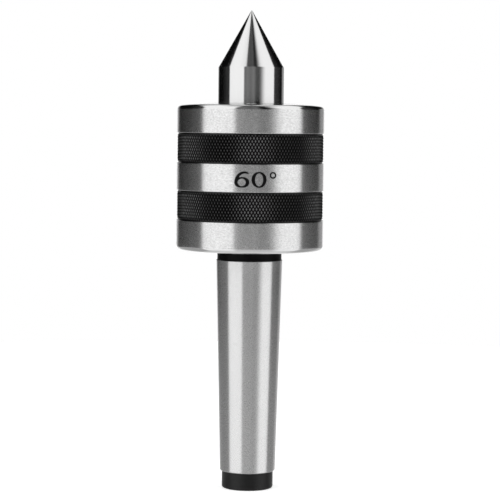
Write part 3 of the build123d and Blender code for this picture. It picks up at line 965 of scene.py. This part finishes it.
def ramp(value, start, stop):
    """0 at start to 1 at stop, in degrees, with a smooth foot and shoulder."""
    rising = start < stop
    low, high = (start, stop) if rising else (stop, start)
    inputs = {"Value": value, "From Min": low, "From Max": high}
    inputs.update({"To Min": 0.0 if rising else 1.0, "To Max": 1.0 if rising else 0.0})
    node = add_node(room, "ShaderNodeMapRange", inputs, interpolation_type="SMOOTHSTEP")
    return node.outputs["Result"]


def product(first, *others):
    """All values or sockets multiplied together."""
    for other in others:
        first = math_node("MULTIPLY", first, other)
    return first


look = add_node(room, "ShaderNodeTexCoord").outputs["Generated"]
axes = add_node(room, "ShaderNodeSeparateXYZ", {"Vector": look})
to_degrees = 180 / math.pi
to_the_front = product(axes.outputs["Y"], -1.0)
azimuth = product(math_node("ARCTAN2", axes.outputs["X"], to_the_front), to_degrees)
elevation = product(math_node("ARCSINE", axes.outputs["Z"]), to_degrees)
from_front = math_node("ABSOLUTE", azimuth)
print("nodes that turn a direction into degrees:", len(room.nodes))

# %% [markdown]
# The outer edges of the soft boxes lean in above a certain height, as tall boxes do when their
# stands are tilted over the table. The gap between them isn't evenly grey: a slow ripple stands for
# folds in a cloth behind the camera.

# %% In front
LEAN_FROM = 24.0  # degrees of elevation above which the boxes lean
LEFT_LEAN = 1.1  # degrees of azimuth for each degree of elevation
RIGHT_LEAN = -1.2
RIPPLE_PERIOD = 20.0  # degrees
RIPPLE_SHIFT = 12.0
RIPPLE_DEPTH = 0.14
upward = math_node("MAXIMUM", math_node("SUBTRACT", elevation, LEAN_FROM), 0.0)
left_lean = math_node("MULTIPLY_ADD", upward, LEFT_LEAN, azimuth)
right_lean = math_node("MULTIPLY_ADD", upward, RIGHT_LEAN, azimuth)
box_height = product(ramp(elevation, -50, -38), ramp(elevation, 74, 62))
left_box = product(ramp(left_lean, -82, -78), ramp(azimuth, -22, -27), box_height)
right_box = product(ramp(azimuth, 26, 54), ramp(right_lean, 89, 85), box_height)
left_spill = product(ramp(azimuth, -125, -80), ramp(azimuth, -22, -27))
right_spill = product(ramp(azimuth, 26, 54), ramp(azimuth, 140, 86))
phase = product(math_node("ADD", azimuth, RIPPLE_SHIFT), 2 * math.pi / RIPPLE_PERIOD)
uneven = math_node("MULTIPLY_ADD", math_node("COSINE", phase), RIPPLE_DEPTH, 1 - RIPPLE_DEPTH)
gap = product(ramp(azimuth, -27, -22), ramp(azimuth, 21, 9), ramp(elevation, 62, 48), uneven)
gap_above = product(ramp(azimuth, -30, -22), ramp(azimuth, 21, 9), ramp(elevation, 46, 60))
table = product(ramp(from_front, 75, 60), ramp(elevation, 0, -8))
print("nodes with the front of the room:", len(room.nodes))

# %% Behind, above and below
SHOULDER_SHIFT = 7.0  # the sweep's two shoulders stand this far to one side, in degrees
behind = product(ramp(from_front, 158, 164), ramp(elevation, 30, 20))
ceiling = product(ramp(from_front, 92, 106), ramp(from_front, 182, 162), ramp(elevation, 42, 52))
zenith = ramp(elevation, 68, 84)
off_centre = math_node("ABSOLUTE", math_node("ADD", azimuth, SHOULDER_SHIFT))
shoulder = product(ramp(off_centre, 139, 149), ramp(from_front, 164, 158), ramp(elevation, 12, 6))
below = ramp(elevation, -45, -60)
print("nodes with all of the room:", len(room.nodes))

# %% The brightest part counts
DARKEST = 0.004  # what the black walls still give back
parts = [
    (left_box, 1.38),
    (right_box, 1.36),
    (left_spill, 0.04),
    (right_spill, 0.05),
    (gap, 0.21),
    (gap_above, 0.085),
    (table, 0.45),
    (behind, 1.2),
    (ceiling, 1.0),
    (zenith, 0.3),
    (shoulder, 0.4),
    (below, 0.75),
]
light = DARKEST
for part, radiance in parts:
    light = math_node("MAXIMUM", light, product(part, radiance))
seen = add_node(room, "ShaderNodeLightPath").outputs["Is Camera Ray"]
shown = add_node(room, "ShaderNodeMix", {0: seen, 2: light, 3: 1.0})
inputs = {"Color": linear("#FFFFFF"), "Strength": shown.outputs[0]}
glow = add_node(room, "ShaderNodeBackground", inputs)
add_node(room, "ShaderNodeOutputWorld", {"Surface": glow.outputs["Background"]})
print("studio:", len(parts), "parts from", len(room.nodes), "nodes")

# %% [markdown]
# ## The floor
# The part stands on a pale disc that glows a little, like a light table. The camera sees it whole.
# To the light that the steel mirrors it is partly clear, so the dark lower end of the room still
# shows in the taper. From below it is invisible, so the underside can be looked at as well.

# %% The disc
FLOOR_R = 500.0
FLOOR_SIDES = 96
around = 2 * np.pi * np.arange(FLOOR_SIDES) / FLOOR_SIDES
level = np.full(FLOOR_SIDES, SHANK_END_Z)
edge = np.stack([FLOOR_R * np.cos(around), FLOOR_R * np.sin(around), level], axis=1)
floor = add_piece("floor", edge, [list(range(FLOOR_SIDES))], [], smooth=False)
floor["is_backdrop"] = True

# %% Its pale finish
FLOOR_GLOW = 0.62
VEIL = 0.4  # how solid the floor is to the light that the steel mirrors
SPECKLE_MM = (30.0, 30.0, 30.0)
floor_material = bpy.data.materials.new("pale_floor")
floor_material.use_nodes = True
tree = floor_material.node_tree
tree.nodes.clear()
speckle_place = add_node(tree, "ShaderNodeTexCoord").outputs["Object"]
speckle = noise_along(tree, speckle_place, SPECKLE_MM)
paper = blend_colours(tree, speckle, "#F2F2F2", "#F6F6F6")
matt = add_node(tree, "ShaderNodeBsdfDiffuse", {"Color": paper})
lamp = add_node(tree, "ShaderNodeEmission", {"Strength": FLOOR_GLOW})
lit = add_node(tree, "ShaderNodeAddShader", {0: matt.outputs[0], 1: lamp.outputs[0]})
clear = add_node(tree, "ShaderNodeBsdfTransparent")
back = add_node(tree, "ShaderNodeNewGeometry").outputs["Backfacing"]
straight = add_node(tree, "ShaderNodeLightPath").outputs["Is Camera Ray"]
inputs = {0: straight, 1: 1 - VEIL, 2: VEIL}
veil = add_node(tree, "ShaderNodeMath", inputs, operation="MULTIPLY_ADD").outputs[0]
inputs = {0: veil, 1: clear.outputs[0], 2: lit.outputs[0]}
half_clear = add_node(tree, "ShaderNodeMixShader", inputs).outputs[0]
inputs = {0: back, 1: half_clear, 2: clear.outputs[0]}
one_sided = add_node(tree, "ShaderNodeMixShader", inputs)
add_node(tree, "ShaderNodeOutputMaterial", {"Surface": one_sided.outputs[0]})
floor.data.materials.append(floor_material)
print(f"floor {2 * FLOOR_R:.0f} mm wide, {VEIL:.0%} solid to mirrored light")

# %% [markdown]
# ## The camera
# It stands three quarters of a metre in front, level with the housing's front, and looks a little
# down. A long lens keeps the upright edges nearly parallel.

# %% Camera
CAMERA_DISTANCE = 756.0
EYE_Z = 56.5
PITCH_DOWN = math.radians(3.623)
ROLL = math.radians(-0.571)
YAW = math.radians(0.021)
LENS_MM = 149.65
camera_data = bpy.data.cameras.new("camera")
camera_data.sensor_width = 36.0
camera_data.lens = LENS_MM
camera = bpy.data.objects.new("camera", camera_data)
scene.collection.objects.link(camera)
camera.location = (0.0, -CAMERA_DISTANCE * MM, EYE_Z * MM)
camera.rotation_euler = (math.pi / 2 - PITCH_DOWN, ROLL, YAW)
scene.camera = camera
print(f"camera {CAMERA_DISTANCE:.0f} mm away, with a lens of {LENS_MM:.0f} mm")

# %% [markdown]
# ## Checking the size
# The looks must not outgrow the CAD model, so the box round them is printed in millimetres.

# %% Sizes, and the end
low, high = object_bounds()
print("visual box in mm:", [round(v / MM, 2) for v in (*low, *high)])
